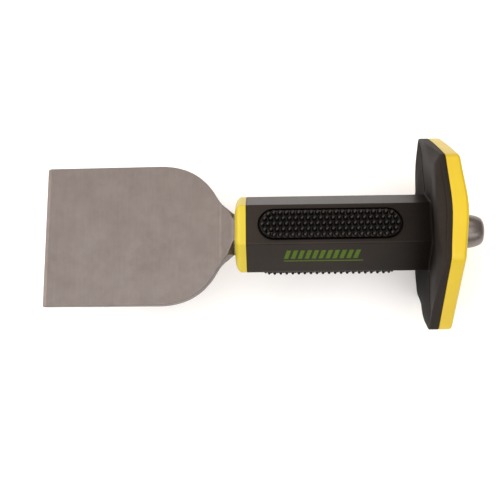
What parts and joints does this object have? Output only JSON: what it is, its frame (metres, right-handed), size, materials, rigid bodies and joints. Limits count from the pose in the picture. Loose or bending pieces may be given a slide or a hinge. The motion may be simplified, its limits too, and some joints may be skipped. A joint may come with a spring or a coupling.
{
  "type": "brick bolster chisel",
  "caption": "Hand-struck chisel with a wide flat blade on a hexagonal steel bar, a hexagonal grip with studded pads, a hexagonal hand guard and a short struck head.",
  "frame": {"origin": "middle of the cutting edge, half way through the blade's thickness", "axes": "+X along the tool's axis from the cutting edge to the struck head, +Y across the blade's width, +Z square to the blade's upper face"},
  "size_m": [0.229, 0.1032, 0.0916],
  "materials": {
    "steel": "satin, ground blade and turned head",
    "yellow_plastic": "satin",
    "black_plastic": "satin moulded soft plastic",
    "black_rubber": "matte, studded"
  },
  "bodies": {
    "root": {"chisel_bar": "steel", "handle_core": "yellow_plastic", "grip_cover": "black_plastic", "grip_pad_top": "black_rubber", "grip_pad_rear": "black_rubber", "grip_pad_front": "black_rubber"}
  },
  "joints": []
}
